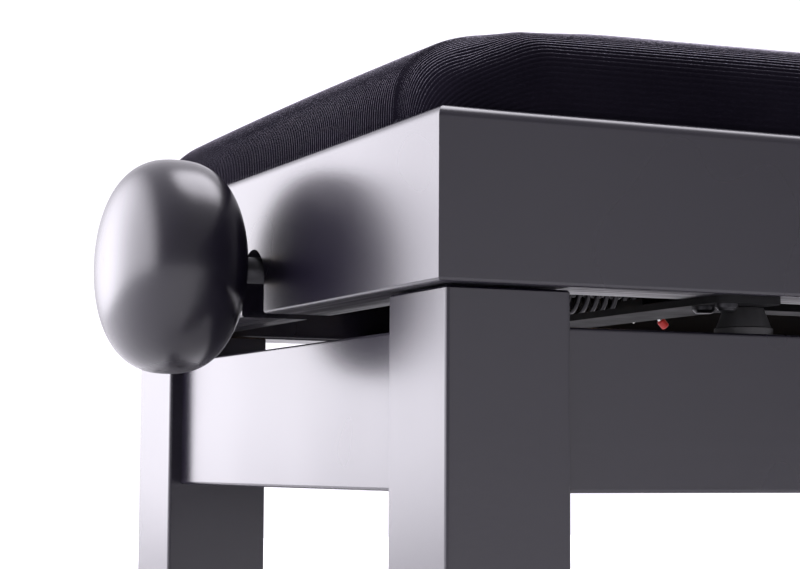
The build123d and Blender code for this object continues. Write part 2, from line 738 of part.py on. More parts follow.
def outer_arm(sy, name):
    """Arm from the base's pivot up to the nut bar, where its eye is a slot."""
    lean = sy * ARM_ANGLE
    run = SLOT_RUN / 2 - 0.5
    slot_x = NUT_X + run * ARM_SPAN / ARM_LEN
    slot_z = AXIS_Z - run * ARM_RISE / ARM_LEN
    with BuildPart() as bar:
        with BuildSketch(arm_plane(OUTER_ARM_Y, sy)):
            with Locations(Location((-sy * CENTRE_X, CENTRE_Z, 0), (0, 0, lean))):
                SlotCenterToCenter(ARM_LEN, ARM_H)
                Circle(CENTRE_R + RUNNING, mode=Mode.SUBTRACT)
            with Locations((-sy * PIVOT_X, LOWER_Z)):
                Circle(PIN_R + RUNNING, mode=Mode.SUBTRACT)
            with Locations(Location((-sy * slot_x, slot_z, 0), (0, 0, lean))):
                SlotCenterToCenter(SLOT_RUN, 2 * (PIN_R + SLOT_PLAY), mode=Mode.SUBTRACT)
        extrude(amount=ARM_T)
    save(bar, name)


def inner_arm(sy, name):
    """Arm from the seat's stud down to the roller shaft, with play round the centre rivet."""
    with BuildPart() as bar:
        with BuildSketch(arm_plane(INNER_ARM_Y, sy)):
            with Locations(Location((-sy * CENTRE_X, CENTRE_Z, 0), (0, 0, -sy * ARM_ANGLE))):
                SlotCenterToCenter(ARM_LEN, ARM_H)
                Circle(CENTRE_R + CENTRE_PLAY, mode=Mode.SUBTRACT)
            with Locations((-sy * PIVOT_X, AXIS_Z), (-sy * NUT_X, LOWER_Z)):
                Circle(PIN_R + RUNNING, mode=Mode.SUBTRACT)
        extrude(amount=ARM_T)
    save(bar, name)


def centre_rivets():
    """Headed rivets through the crossing of each pair of arms, with a spacer between them."""
    inner_side = INNER_ARM_Y - SIDE_PLAY
    head_side = inner_side - STEEL_T
    outer_side = OUTER_ARM_Y + ARM_T
    flanges = [
        (head_side, inner_side, RIVET_HEAD_R),
        (head_side, outer_side + SIDE_PLAY, CENTRE_R),
        (INNER_ARM_Y + ARM_T + SIDE_PLAY, OUTER_ARM_Y, RIVET_HEAD_R),
        (outer_side, outer_side + STEEL_T, RIVET_TAIL_R),
    ]
    with BuildPart() as rivets:
        for sy in (-1, 1):
            for y_from, y_to, radius in flanges:
                with BuildSketch(Plane(origin=(CENTRE_X, sy * y_from, CENTRE_Z), z_dir=(0, sy, 0))):
                    Circle(radius)
                extrude(amount=y_to - y_from)
    save(rivets, "centre_rivets")


def assist_spring():
    """Compression spring on the spindle that pushes the nut bar and helps lift the seat."""
    start = -BEARING_X + WIRE / 2 + SIDE_PLAY
    end = NUT_X - NUT_BAR / 2 - WIRE / 2 - SIDE_PLAY
    with BuildPart() as spring:
        with BuildLine() as coil:
            Helix(
                SPRING_PITCH,
                end - start,
                SPRING_R - WIRE / 2,
                center=(start, 0, AXIS_Z),
                direction=(1, 0, 0),
            )
        with BuildSketch(Plane(origin=coil.line @ 0, z_dir=coil.line % 0)):
            Circle(WIRE / 2)
        sweep(is_frenet=True)
    save(spring, "assist_spring")


# ---- assembly -------------------------------------------------------------------------------
SIDES = {"front": (0, -1), "back": (0, 1), "left": (-1, 0), "right": (1, 0)}
ENDS = {"left": -1, "right": 1}
FLANKS = {"front": -1, "back": 1}

for flank, sign_y in FLANKS.items():
    lower_rail(sign_y, f"lower_rail_{flank}")
    upper_rail(sign_y, f"upper_rail_{flank}")
    outer_arm(sign_y, f"outer_arm_{flank}")
    inner_arm(sign_y, f"inner_arm_{flank}")
    for end, sign_x in ENDS.items():
        leg(sign_x, sign_y, f"leg_{flank}_{end}")
for place, normal in SIDES.items():
    apron(normal, f"apron_{place}")
    seat_rail(normal, f"seat_rail_{place}")
for end, sign_x in ENDS.items():
    crossbar(sign_x, f"crossbar_{end}")
    bearing(sign_x, f"spindle_bearing_{end}")
    knob(sign_x, f"knob_{end}")

corner_brackets()
leg_bolts()
foot_glides()
buffers()
corner_blocks()
cushion()
cover_staples()
upper_studs()
spindle()
nut_bar()
split_pin()
centre_rivets()
assist_spring()

round_bar(PIVOT_X, LOWER_Z, APRON_IN_Y - SIDE_PLAY, PIN_R, "lower_pivot_shaft")
round_bar(NUT_X, LOWER_Z, LOWER_WEB_Y - SIDE_PLAY, PIN_R, "roller_shaft")
bore = PIN_R + RUNNING
arm_out = OUTER_ARM_Y + ARM_T + SIDE_PLAY
arm_in = OUTER_ARM_Y - SIDE_PLAY
web_in = LOWER_WEB_Y - SIDE_PLAY
rings(PIVOT_X, LOWER_Z, arm_out, web_in, RING_R, bore, "lower_pivot_spacers")
rings(PIVOT_X, LOWER_Z, arm_in - CLIP_T, arm_in, RING_R, bore, "lower_pivot_clips")
rings(NUT_X, LOWER_Z, TRACK_IN_Y + SIDE_PLAY, web_in - SIDE_PLAY, ROLLER_R, bore, "rollers")
rings(NUT_X, LOWER_Z, INNER_ARM_Y - CLIP_T, INNER_ARM_Y, RING_R, bore, "roller_shaft_clips")
rings(PIVOT_X, AXIS_Z, arm_in - CLIP_T, arm_in, RING_R, bore, "upper_pivot_clips")
rings(NUT_X, AXIS_Z, WEB_Y + STEEL_T + SIDE_PLAY, arm_in, RING_R, bore, "nut_bar_spacers")
rings(NUT_X, AXIS_Z, arm_out, arm_out + CLIP_T, RING_R, bore, "nut_bar_clips")

apron_screws = [plane for sx, sy in QUADRANTS for plane in bracket_screw_planes(sx, sy)]
pan_head_screws(apron_screws, 14.0, "bracket_screws")
rail_screws = [
    Plane(origin=(x, sy * LOWER_WEB_Y, z), z_dir=(0, sy, 0))
    for sy in (-1, 1)
    for x, z in RAIL_SCREW_SPOTS
]
pan_head_screws(rail_screws, 16.0, "lower_rail_screws")
buffer_screws = [
    Plane(origin=(sx * BUFFER_X, sy * BUFFER_Y, APRON_TOP + BUFFER_RECESS_Z), z_dir=(0, 0, -1))
    for sx, sy in QUADRANTS
]
pan_head_screws(buffer_screws, 24.0, "buffer_screws")
bar_screws = [
    Plane(origin=(sx * x, sy * y, CROSSBAR_Z), z_dir=(0, 0, 1))
    for sx, sy in QUADRANTS
    for x, y in CROSSBAR_SCREWS
]
pan_head_screws(bar_screws, 22.0, "crossbar_screws")
board_screws = [
    Plane(origin=(sx * BLOCK_SCREW[0], sy * BLOCK_SCREW[1], BLOCK_Z), z_dir=(0, 0, 1))
    for sx, sy in QUADRANTS
]
pan_head_screws(board_screws, 50.0, "board_screws")

print("arm length", round(ARM_LEN, 2), "angles", round(ARM_ANGLE, 3), round(ARM_ANGLE_UP, 3))
print("nut travel", round(NUT_TRAVEL, 3), "spindle turns", round(NUT_TRAVEL / LEAD, 3))
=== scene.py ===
"""Adjustable piano bench: looks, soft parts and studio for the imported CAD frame.  Metres."""
import json
from math import cos, pi, sin

import bpy
import numpy as np
from mathutils import Matrix, Vector


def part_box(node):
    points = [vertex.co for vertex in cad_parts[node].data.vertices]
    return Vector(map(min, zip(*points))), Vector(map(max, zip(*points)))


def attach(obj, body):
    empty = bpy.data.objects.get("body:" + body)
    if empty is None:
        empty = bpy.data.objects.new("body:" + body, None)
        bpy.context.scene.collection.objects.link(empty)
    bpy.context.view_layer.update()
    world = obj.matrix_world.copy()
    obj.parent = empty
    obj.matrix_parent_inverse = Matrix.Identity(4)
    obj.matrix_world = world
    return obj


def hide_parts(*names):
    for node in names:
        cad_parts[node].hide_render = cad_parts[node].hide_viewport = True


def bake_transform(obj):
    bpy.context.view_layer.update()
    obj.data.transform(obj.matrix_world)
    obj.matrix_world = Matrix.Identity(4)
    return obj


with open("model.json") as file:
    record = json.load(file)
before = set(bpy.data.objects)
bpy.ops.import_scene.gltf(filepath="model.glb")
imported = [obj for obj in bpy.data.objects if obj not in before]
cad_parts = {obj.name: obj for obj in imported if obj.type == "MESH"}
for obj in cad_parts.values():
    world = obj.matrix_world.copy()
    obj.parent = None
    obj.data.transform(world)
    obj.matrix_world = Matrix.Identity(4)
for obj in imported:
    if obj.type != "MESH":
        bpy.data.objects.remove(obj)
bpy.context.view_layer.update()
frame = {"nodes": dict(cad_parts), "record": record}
NODES = frame["nodes"]
SCENE = bpy.context.scene

MM = 0.001
SEED = 11


# ---- mesh helpers ---------------------------------------------------------------------------
def mesh_piece(name, points, faces, material):
    """A smooth-shaded mesh object from points and faces."""
    mesh = bpy.data.meshes.new(name)
    mesh.from_pydata([tuple(p) for p in points], [], faces)
    mesh.polygons.foreach_set("use_smooth", [True] * len(mesh.polygons))
    mesh.materials.append(material)
    mesh.update()
    piece = bpy.data.objects.new(name, mesh)
    SCENE.collection.objects.link(piece)
    return piece


def grid_faces(rows, columns, closed=False):
    """Quads of a rows x columns grid of points, closed round its columns or not."""
    across = columns if closed else columns - 1
    return [
        (i * columns + j, (i + 1) * columns + j,
         (i + 1) * columns + (j + 1) % columns, i * columns + (j + 1) % columns)
        for i in range(rows - 1)
        for j in range(across)
    ]


def capped_tube(rings, name, material):
    """A tube through rings of points, each an array of the same length, with flat ends."""
    rows, columns = len(rings), len(rings[0])
    faces = grid_faces(rows, columns, closed=True)
    faces.append(tuple(range(columns)))
    faces.append(tuple(reversed(range((rows - 1) * columns, rows * columns))))
    return mesh_piece(name, np.concatenate(rings), faces, material)


# ---- material helpers -----------------------------------------------------------------------
class Shader:
    """A Principled material under construction."""

    def __init__(self, name, **sockets):
        self.material = bpy.data.materials.new(name)
        self.material.use_nodes = True
        self.tree = self.material.node_tree
        self.bsdf = self.tree.nodes["Principled BSDF"]
        for socket, value in sockets.items():
            self.bsdf.inputs[socket.replace("_", " ")].default_value = value
        self.place = self.node("ShaderNodeTexCoord").outputs["Object"]
        self.normal = None

    def node(self, kind, **settings):
        made = self.tree.nodes.new(kind)
        for key, value in settings.items():
            setattr(made, key, value)
        return made

    def feed(self, socket, value):
        """Link a socket, or give it a constant."""
        if isinstance(value, bpy.types.NodeSocket):
            self.tree.links.new(value, socket)
        else:
            socket.default_value = value

    def stretched(self, scale):
        """Object coordinates scaled per axis."""
        mapping = self.node("ShaderNodeMapping")
        mapping.inputs["Scale"].default_value = scale
        self.feed(mapping.inputs["Vector"], self.place)
        return mapping.outputs["Vector"]

    def noise(self, scale, detail=3.0, place=None, distortion=0.0):
        made = self.node("ShaderNodeTexNoise")
        self.feed(made.inputs["Vector"], place or self.place)
        made.inputs["Scale"].default_value = scale
        made.inputs["Detail"].default_value = detail
        made.inputs["Distortion"].default_value = distortion
        return made.outputs["Fac"]

    def span(self, factor, low, high, start=0.3, end=0.7):
        """A factor between start and end, spread over low to high."""
        made = self.node("ShaderNodeMapRange")
        self.feed(made.inputs["Value"], factor)
        for socket, value in zip(("From Min", "From Max", "To Min", "To Max"), (start, end, low, high)):
            self.feed(made.inputs[socket], value)
        return made.outputs["Result"]

    def mix(self, factor, first, second):
        made = self.node("ShaderNodeMix", data_type="RGBA")
        self.feed(made.inputs["Factor"], factor)
        self.feed(made.inputs["A"], first)
        self.feed(made.inputs["B"], second)
        return made.outputs["Result"]

    def bump(self, height, distance, strength=1.0):
        made = self.node("ShaderNodeBump")
        self.feed(made.inputs["Height"], height)
        self.feed(made.inputs["Strength"], strength)
        made.inputs["Distance"].default_value = distance
        if self.normal is not None:
            self.feed(made.inputs["Normal"], self.normal)
        self.normal = made.outputs["Normal"]

    def done(self):
        if self.normal is not None:
            self.feed(self.bsdf.inputs["Normal"], self.normal)
        return self.material


def lacquered_wood(name, stretch):
    """Satin black lacquer, its grain just telegraphing through; the undersides are left rough."""
    s = Shader(name, IOR=1.5, Base_Color=(0.0052, 0.0042, 0.0088, 1))
    facing = s.node("ShaderNodeSeparateXYZ")
    s.feed(facing.inputs["Vector"], s.node("ShaderNodeTexCoord").outputs["Normal"])
    under = s.span(facing.outputs["Z"], 1.0, 0.0, -0.98, -0.9)
    grain = s.noise(55.0, 5.0, s.stretched(stretch), 0.6)
    streaks = s.noise(260.0, 4.0, s.stretched(stretch))
    finish = s.node("ShaderNodeMix", data_type="FLOAT")
    s.feed(finish.inputs["Factor"], under)
    s.feed(finish.inputs["A"], s.span(s.noise(9.0, 2.0), 0.24, 0.29))
    s.feed(finish.inputs["B"], s.span(streaks, 0.3, 0.62))
    s.feed(s.bsdf.inputs["Roughness"], finish.outputs["Result"])
    s.bump(grain, 0.00025, s.span(under, 0.12, 1.0, 0.0, 1.0))
    s.bump(streaks, 0.00012, s.span(under, 0.05, 1.0, 0.0, 1.0))
    s.bump(s.noise(420.0, 2.0), 0.00004, 0.25)
    return s.done()


def painted_steel():
    """Flat black paint over steel."""
    s = Shader(
        "black_painted_steel", Base_Color=(0.006, 0.006, 0.0065, 1), IOR=1.42,
        Specular_IOR_Level=0.12,
    )
    s.feed(s.bsdf.inputs["Roughness"], s.span(s.noise(60.0, 3.0), 0.62, 0.78))
    s.bump(s.noise(900.0, 2.0), 0.00006, 0.5)
    return s.done()


def plain_metal(name, color, low, high, streak):
    """Bare or plated metal with fine streaks along one direction."""
    s = Shader(name, Base_Color=(*color, 1), Metallic=1.0)
    streaks = s.noise(300.0, 4.0, s.stretched(streak))
    s.feed(s.bsdf.inputs["Roughness"], s.span(streaks, low, high))
    s.bump(streaks, 0.00003, 0.4)
    s.bump(s.noise(70.0, 2.0), 0.00008, 0.3)
    return s.done()


def moulded(name, color, low, high, grain, depth):
    """Plastic or rubber with a fine moulded texture."""
    s = Shader(name, Base_Color=(*color, 1), IOR=1.48)
    s.feed(s.bsdf.inputs["Roughness"], s.span(s.noise(grain / 6, 3.0), low, high))
    s.bump(s.noise(grain, 3.0), depth, 0.5)
    return s.done()


def bare_wood(name, dark, light, stretch, scale):
    """Unfinished wood with grain bands."""
    s = Shader(name, Roughness=0.7, IOR=1.45)
    grain = s.noise(scale, 6.0, s.stretched(stretch), 1.5)
    fine = s.noise(scale * 6, 4.0, s.stretched(stretch))
    tone = s.mix(s.span(grain, 0.0, 1.0), (*dark, 1), (*light, 1))
    fleck = s.mix(s.span(fine, 0.0, 0.35), tone, (*dark, 1))
    s.feed(s.bsdf.inputs["Base Color"], fleck)
    s.bump(fine, 0.0002, 0.5)
    return s.done()


def ribbed_fabric():
    """Black corduroy: the wales are geometry, the pile's nap and lint are here."""
    s = Shader(
        "ribbed_fabric", Roughness=1.0, IOR=1.4, Specular_IOR_Level=0.0, Sheen_Weight=0.9,
        Sheen_Roughness=0.2, Sheen_Tint=(0.9, 0.86, 1.0, 1),
    )
    nap = s.noise(28.0, 3.0)
    lint = s.noise(2600.0, 3.0, s.stretched((0.35, 1.0, 1.0)))
    tone = s.mix(s.span(nap, 0.0, 1.0), (0.003, 0.0026, 0.0044, 1), (0.0048, 0.0042, 0.0068, 1))
    specks = s.mix(s.span(lint, 0.0, 0.5, 0.5, 0.8), tone, (0.011, 0.0096, 0.015, 1))
    s.feed(s.bsdf.inputs["Base Color"], specks)
    s.bump(lint, 0.00015, 0.7)
    return s.done()


def foam_material():
    """Yellowish open-celled foam."""
    s = Shader("foam", Base_Color=(0.72, 0.68, 0.55, 1), Roughness=0.95)
    s.bump(s.noise(900.0, 4.0), 0.0008, 1.0)
    return s.done()


# ---- materials ------------------------------------------------------------------------------
WOOD = {
    "x": lacquered_wood("black_lacquer_along_x", (0.05, 1.0, 1.0)),
    "y": lacquered_wood("black_lacquer_along_y", (1.0, 0.05, 1.0)),
    "z": lacquered_wood("black_lacquer_along_z", (1.0, 1.0, 0.05)),
}
MATERIALS = {
    "black_painted_steel": painted_steel(),
    "zinc_steel": plain_metal("zinc_steel", (0.55, 0.55, 0.57), 0.28, 0.45, (1.0, 1.0, 1.0)),
    "bright_steel": plain_metal("bright_steel", (0.62, 0.61, 0.6), 0.18, 0.34, (1.0, 0.08, 1.0)),
    "blackened_steel": plain_metal(
        "blackened_steel", (0.03, 0.03, 0.032), 0.3, 0.46, (1.0, 0.3, 1.0)
    ),
    "brass": plain_metal("brass", (0.72, 0.52, 0.24), 0.2, 0.35, (1.0, 0.1, 0.1)),
    "red_plastic": moulded("red_plastic", (0.55, 0.025, 0.02), 0.35, 0.5, 1500.0, 0.00003),
    "nylon": moulded("nylon", (0.74, 0.73, 0.68), 0.4, 0.55, 900.0, 0.00005),
    "black_rubber": moulded("black_rubber", (0.007, 0.007, 0.0075), 0.5, 0.7, 1100.0, 0.00012),
    "raw_wood": bare_wood("raw_wood", (0.36, 0.22, 0.11), (0.6, 0.42, 0.24), (1.0, 1.0, 0.06), 70.0),
    "plywood": bare_wood("plywood", (0.42, 0.28, 0.15), (0.66, 0.5, 0.32), (0.06, 1.0, 1.0), 45.0),
    "foam": foam_material(),
    "ribbed_fabric": ribbed_fabric(),
}
SLOT_OF = {row["node"]: row["material_slot"] for row in frame["record"]["subparts"]}


def wood_grain(node):
    """The lacquer whose grain runs along this piece."""
    low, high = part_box(node)
    size = high - low
    return WOOD["xyz"[list(size).index(max(size))]]


for node_name, node_object in NODES.items():
    slot_name = SLOT_OF[node_name]
    finish = wood_grain(node_name) if slot_name == "black_lacquered_wood" else MATERIALS[slot_name]
    for slot in node_object.material_slots:
        slot.material = finish


# ---- cushion --------------------------------------------------------------------------------
FRAME_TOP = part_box("seat_rail_front")[1].z
PAD_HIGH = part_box("seat_cover")[1]
HALF_X = PAD_HIGH.x
HALF_Y = PAD_HIGH.y

ROLL = 40 * MM              # width in plan of the rolled border
SHOULDER = 31.0 * MM        # height of the border's inner edge over the frame
SECTION_OUT = 2.2           # superellipse exponents of the border's section
SECTION_UP = 3.2
CROWN = 3.0 * MM
HEM = 43 * MM               # fabric turned in under the board
HEM_LIFT = 0.06 * MM
CORNER_SHAPE = 4.2          # superellipse exponent of the corners in plan
CORNER_SINK = 0.2           # how much flatter the corners are than the sides
CORNER_EASE = 0.7           # of the side, over which the corner's shape comes in
PLAN_EASE = 4 * MM          # round the flat middle, over which the corners' plan comes in
FILL_LONG = 0.125           # how much fuller the long sides are in the middle
FILL_SHORT = 0.05
SWEEP = 2.6                 # how round the ribs turn the corners

RIB_PITCH = 1.9 * MM
RIB_HEIGHT = 0.38 * MM
RIB_ROUND = 0.75            # exponent of a wale's section, blunter when smaller
RIB_BASE = 0.35             # of a rib's height, that lies inside the pad's surface
RIB_STEPS = (0.0, 0.2, 0.5, 0.8)    # where points lie across one rib
RIBS_PAST = 6 * MM          # of ribbed cloth beyond the side
RIBS_END = 2 * MM           # beyond the side, where the ribs have flattened out
RIBS_FADE = 3 * MM
UNEVEN = 0.12               # how much a rib's height wanders
WANDER = 0.06               # length of that wander, in metres

TUCKS = ((0.82, 0.13, 0.8 * MM), (1.1, 0.1, 0.3 * MM))  # angle round the corner, width, depth
TUCK_START = 0.35           # of the side
TUCK_RISE = 0.2
TUCK_LEAN = 0.25            # radians a tuck leans over as it rises
TUCK_GAIN = 1.6             # how soon a tuck reaches full depth round the corner
BOARD_SIDE = 13 * MM        # of the side's lower end, beside the board
BOARD_FADE = 8 * MM
BOARD_TUCK = 0.03           # of a tuck's depth, left beside the board

CLOTH_PAST = 4 * MM         # of cloth beyond the side in the simulation
CLOTH_FRAMES = 20
HELD_EDGE = 16 * MM         # of the side, pulled tight by the staples
SWELL_CAP = 3.5 * MM
SMOOTHINGS = 3

BORDER_POINTS, HEM_POINTS = 400, 40
COARSE_U, COARSE_V = 81, 55
SIDE_ROWS, HEM_ROWS, MIDDLE_ROWS, SPARE_ROWS = 34, 6, 53, 5


def border_profile():
    """Arc length, plan offset and height down the rolled border, then in along the hem."""
    t = np.linspace(0, 1, BORDER_POINTS)
    offset = ROLL * np.sin(t * pi / 2) ** (2 / SECTION_OUT)
    height = SHOULDER * (1 - (offset / ROLL) ** SECTION_OUT) ** (1 / SECTION_UP)
    hem = np.linspace(0, HEM, HEM_POINTS)[1:]
    offset = np.concatenate([offset, ROLL - hem])
    height = np.concatenate([height, np.full(len(hem), HEM_LIFT)])
    steps = np.hypot(np.diff(offset), np.diff(height))
    return np.concatenate([[0], np.cumsum(steps)]), offset, height


ARC, OFFSET, HEIGHT = border_profile()
SIDE = ARC[BORDER_POINTS - 1]
REACH = ARC[-1]
CORE_X = HALF_X - ROLL
CORE_Y = HALF_Y - ROLL


def past(value, core):
    """How far a cloth coordinate lies outside the flat middle."""
    return np.clip(np.abs(value) - core, 0, None)


def eased(t):
    """0 to 1 as t goes from 0 to 1, level at both ends."""
    t = np.clip(t, 0, 1)
    return t * t * (3 - 2 * t)


def pad_surface(u, v):
    """Where the cloth's (u, v) lies on the padded form, with how far round the border it is,
    its angle round the corner, and how much it belongs to a corner."""
    out_u, out_v = past(u, CORE_X), past(v, CORE_Y)
    round_by = (out_u**SWEEP + out_v**SWEEP) ** (1 / SWEEP)
    turn = np.arctan2(out_v ** (SWEEP / 2), out_u ** (SWEEP / 2))
    along = np.minimum(round_by, REACH)
    offset = np.interp(along, ARC, OFFSET)
    height = np.interp(along, ARC, HEIGHT)
    bulge = (np.cos(turn) ** CORNER_SHAPE + np.sin(turn) ** CORNER_SHAPE) ** (-1 / CORNER_SHAPE)
    inside = np.clip(round_by / PLAN_EASE, 0, 1)
    reach = offset * (1 + (bulge - 1) * inside)
    x = np.sign(u) * (np.minimum(np.abs(u), CORE_X) + reach * np.cos(turn) * (out_u + out_v > 0))
    y = np.sign(v) * (np.minimum(np.abs(v), CORE_Y) + reach * np.sin(turn) * (out_u + out_v > 0))
    corner = np.sin(2 * turn) ** 2 * (out_u > 0) * (out_v > 0) * eased(round_by / (CORNER_EASE * SIDE))
    on_top = along < SIDE
    mid_x = 1 - (x / HALF_X) ** 2
    mid_y = 1 - (y / HALF_Y) ** 2
    fullness = 1 + (FILL_LONG * mid_x + FILL_SHORT * mid_y - CORNER_SINK * corner) * on_top
    z = FRAME_TOP + height * fullness + CROWN * mid_x * mid_y * on_top
    return np.stack([x, y, z], -1), round_by, turn, corner


def simulated(cloth):
    """Where the cloth's points lie once the stuffing's pressure has pushed it out."""
    modifier = cloth.modifiers.new("Cloth", "CLOTH")
    modifier.settings.vertex_group_mass = "held"
    modifier.settings.quality = 6
    modifier.settings.mass = 0.25
    modifier.settings.tension_stiffness = 18
    modifier.settings.compression_stiffness = 18
    modifier.settings.bending_stiffness = 0.8
    modifier.settings.use_pressure = True
    modifier.settings.uniform_pressure_force = 4
    modifier.settings.effector_weights.gravity = 0
    modifier.point_cache.frame_start = 1
    modifier.point_cache.frame_end = CLOTH_FRAMES
    for step in range(1, CLOTH_FRAMES + 1):
        SCENE.frame_set(step)
    settled = cloth.evaluated_get(bpy.context.evaluated_depsgraph_get()).to_mesh()
    found = np.zeros(len(settled.vertices) * 3)
    settled.vertices.foreach_get("co", found)
    SCENE.frame_set(1)
    return found


def swelled(u, v):
    """How the stuffing pushes the cloth out: the outward part of a simulation on a coarse grid."""
    grid_u, grid_v = np.meshgrid(u, v, indexing="ij")
    rest, round_by = pad_surface(grid_u, grid_v)[:2]
    faces = grid_faces(len(u), len(v))
    flat = round_by.ravel()
    faces = [face for face in faces if min(flat[k] for k in face) < SIDE + CLOTH_PAST]
    cloth = mesh_piece("cloth_trial", rest.reshape(-1, 3), faces, MATERIALS["ribbed_fabric"])
    held = cloth.vertex_groups.new(name="held")
    held.add([int(k) for k in np.flatnonzero(flat > SIDE - HELD_EDGE)], 1.0, "REPLACE")
    found = simulated(cloth)
    normals = surface_normals(rest)
    out = ((found.reshape(rest.shape) - rest) * normals).sum(-1)
    out = np.clip(out, 0, SWELL_CAP)
    for _ in range(SMOOTHINGS):
        framed = np.pad(out, 1, mode="edge")
        beside = framed[:-2, 1:-1] + framed[2:, 1:-1] + framed[1:-1, :-2] + framed[1:-1, 2:]
        out = (beside + 2 * out) / 6
    trial_mesh = cloth.data
    bpy.data.objects.remove(cloth)
    bpy.data.meshes.remove(trial_mesh)
    return normals * out[..., None]


def cubic_weights(coarse, fine):
    """Catmull-Rom weights from an even coarse axis to any points on it."""
    step = coarse[1] - coarse[0]
    place = np.clip((fine - coarse[0]) / step, 0, len(coarse) - 1 - 1e-9)
    low = place.astype(int)
    t = place - low
    parts = [
        -0.5 * t + t**2 - 0.5 * t**3,
        1 - 2.5 * t**2 + 1.5 * t**3,
        0.5 * t + 2 * t**2 - 1.5 * t**3,
        -0.5 * t**2 + 0.5 * t**3,
    ]
    weights = np.zeros((len(fine), len(coarse)))
    rows = np.arange(len(fine))
    for shift, part in zip((-1, 0, 1, 2), parts):
        np.add.at(weights, (rows, np.clip(low + shift, 0, len(coarse) - 1)), part)
    return weights


def surface_normals(points):
    """Unit normals of a grid of points."""
    across = np.gradient(points, axis=0)
    along = np.gradient(points, axis=1)
    normal = np.cross(across, along)
    length = np.linalg.norm(normal, axis=-1, keepdims=True)
    return normal / np.maximum(length, 1e-12)


def waves(values, count, scale, rng):
    """A gentle seeded wander, between about -1 and 1."""
    total = np.zeros_like(values)
    for _ in range(count):
        total += np.sin(values * rng.uniform(0.5, 1.5) * 2 * pi / scale + rng.uniform(0, 2 * pi))
    return total / count


def corner_tucks(round_by, turn, corner):
    """Depth of the tucks that take up the spare cloth at each corner, shallow beside the board."""
    rising = eased((round_by - TUCK_START * SIDE) / (TUCK_RISE * SIDE)) * (round_by < SIDE + 1 * MM)
    shallow = np.clip((SIDE - BOARD_SIDE - round_by) / BOARD_FADE, BOARD_TUCK, 1)
    depth = np.zeros_like(round_by)
    for angle, width, deepest in TUCKS:
        lean = angle + TUCK_LEAN * (1 - rising)
        depth += deepest * np.exp(-((turn - lean) / width) ** 2)
    return depth * rising * shallow * np.clip(corner * TUCK_GAIN, 0, 1)


def ribs_lift(grid_u, grid_v, round_by):
    """How far the ribs stand over the pad's surface."""
    rng = np.random.default_rng(SEED)
    phase = np.mod(grid_v / RIB_PITCH, 1.0)
    wale = np.sin(pi * phase) ** RIB_ROUND
    uneven = 1 + UNEVEN * waves(grid_u + 0.3 * grid_v, 5, WANDER, rng)
    fade = np.clip((SIDE + RIBS_END - round_by) / RIBS_FADE, 0, 1)
    return RIB_HEIGHT * (wale - RIB_BASE) * uneven * fade


def fine_axes():
    """Cloth coordinates of the visible mesh: along the ribs, then across them."""
    hem = np.linspace(0, HEM, HEM_ROWS)[1:]
    right = CORE_X + np.concatenate([np.linspace(0, SIDE, SIDE_ROWS), SIDE + hem])
    middle = np.linspace(-CORE_X, CORE_X, MIDDLE_ROWS)[1:-1]
    wales = int((CORE_Y + SIDE + RIBS_PAST) / RIB_PITCH)
    ribs = ((np.arange(-wales, wales)[:, None] + np.array(RIB_STEPS)) * RIB_PITCH).ravel()
    spare = np.linspace(ribs[-1] + RIB_PITCH, CORE_Y + REACH, SPARE_ROWS)
    return np.concatenate([-right[::-1], middle, right]), np.concatenate([-spare[::-1], ribs, spare])


def cushion():
    """Foam pad in ribbed cloth, tucked at the corners and turned in under its board."""
    coarse_u = np.linspace(-CORE_X - REACH, CORE_X + REACH, COARSE_U)
    coarse_v = np.linspace(-CORE_Y - REACH, CORE_Y + REACH, COARSE_V)
    swell = swelled(coarse_u, coarse_v)
    fine_u, fine_v = fine_axes()
    grid_u, grid_v = np.meshgrid(fine_u, fine_v, indexing="ij")
    points, round_by, turn, corner = pad_surface(grid_u, grid_v)
    to_u, to_v = cubic_weights(coarse_u, fine_u), cubic_weights(coarse_v, fine_v)
    points += np.einsum("ui,ijk,vj->uvk", to_u, swell, to_v)
    normals = surface_normals(points)
    lift = ribs_lift(grid_u, grid_v, round_by)
    lift -= corner_tucks(round_by, turn, corner)
    points += normals * lift[..., None]
    flat = round_by.ravel()
    faces = grid_faces(len(fine_u), len(fine_v))
    faces = [face for face in faces if min(flat[k] for k in face) < REACH - 1e-6]
    keep = sorted({k for face in faces for k in face})
    place = {k: i for i, k in enumerate(keep)}
    faces = [tuple(place[k] for k in face) for face in faces]
    cloth = MATERIALS["ribbed_fabric"]
    piece = mesh_piece("seat_cushion", points.reshape(-1, 3)[keep], faces, cloth)
    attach(piece, "seat")
    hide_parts("seat_cover", "seat_foam")


# ---- spindle and spring ---------------------------------------------------------------------
def threaded_spindle():
    """The spindle with its trapezoid thread cut on the nut bar's stretch."""
    low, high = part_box("spindle")
    radius = (high.z - low.z) / 2
    axis_z = (high.z + low.z) / 2
    lead, depth, sides = 3 * MM, 0.75 * MM, 32
    cut_from, cut_to = -164 * MM, -48 * MM
    crest, flank = 0.5, 1.3
    chamfer = 0.8 * MM
    step = 1e-4
    plain = [low.x, low.x + chamfer, cut_from - step]
    cut = np.arange(cut_from, cut_to, lead / 8)
    stations = [*plain, *cut, cut_to + step, high.x - chamfer, high.x]
    rings = []
    for x in stations:
        angle = np.linspace(0, 2 * pi, sides, endpoint=False)
        r = np.full(sides, radius)
        if cut_from <= x <= cut_to:
            run_in = min(1, (x - cut_from) / lead, (cut_to - x) / lead)
            tooth = np.abs(np.mod(x / lead - angle / (2 * pi), 1) - 0.5) * 4 - 1
            r = radius - depth * run_in * np.clip(crest - flank * tooth, 0, 1)
        if x in (low.x, high.x):
            r = r - chamfer
        rings.append(np.stack([np.full(sides, x), r * np.cos(angle), axis_z + r * np.sin(angle)], -1))
    piece = capped_tube(rings, "spindle_threaded", MATERIALS["blackened_steel"])
    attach(piece, "spindle")
    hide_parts("spindle")


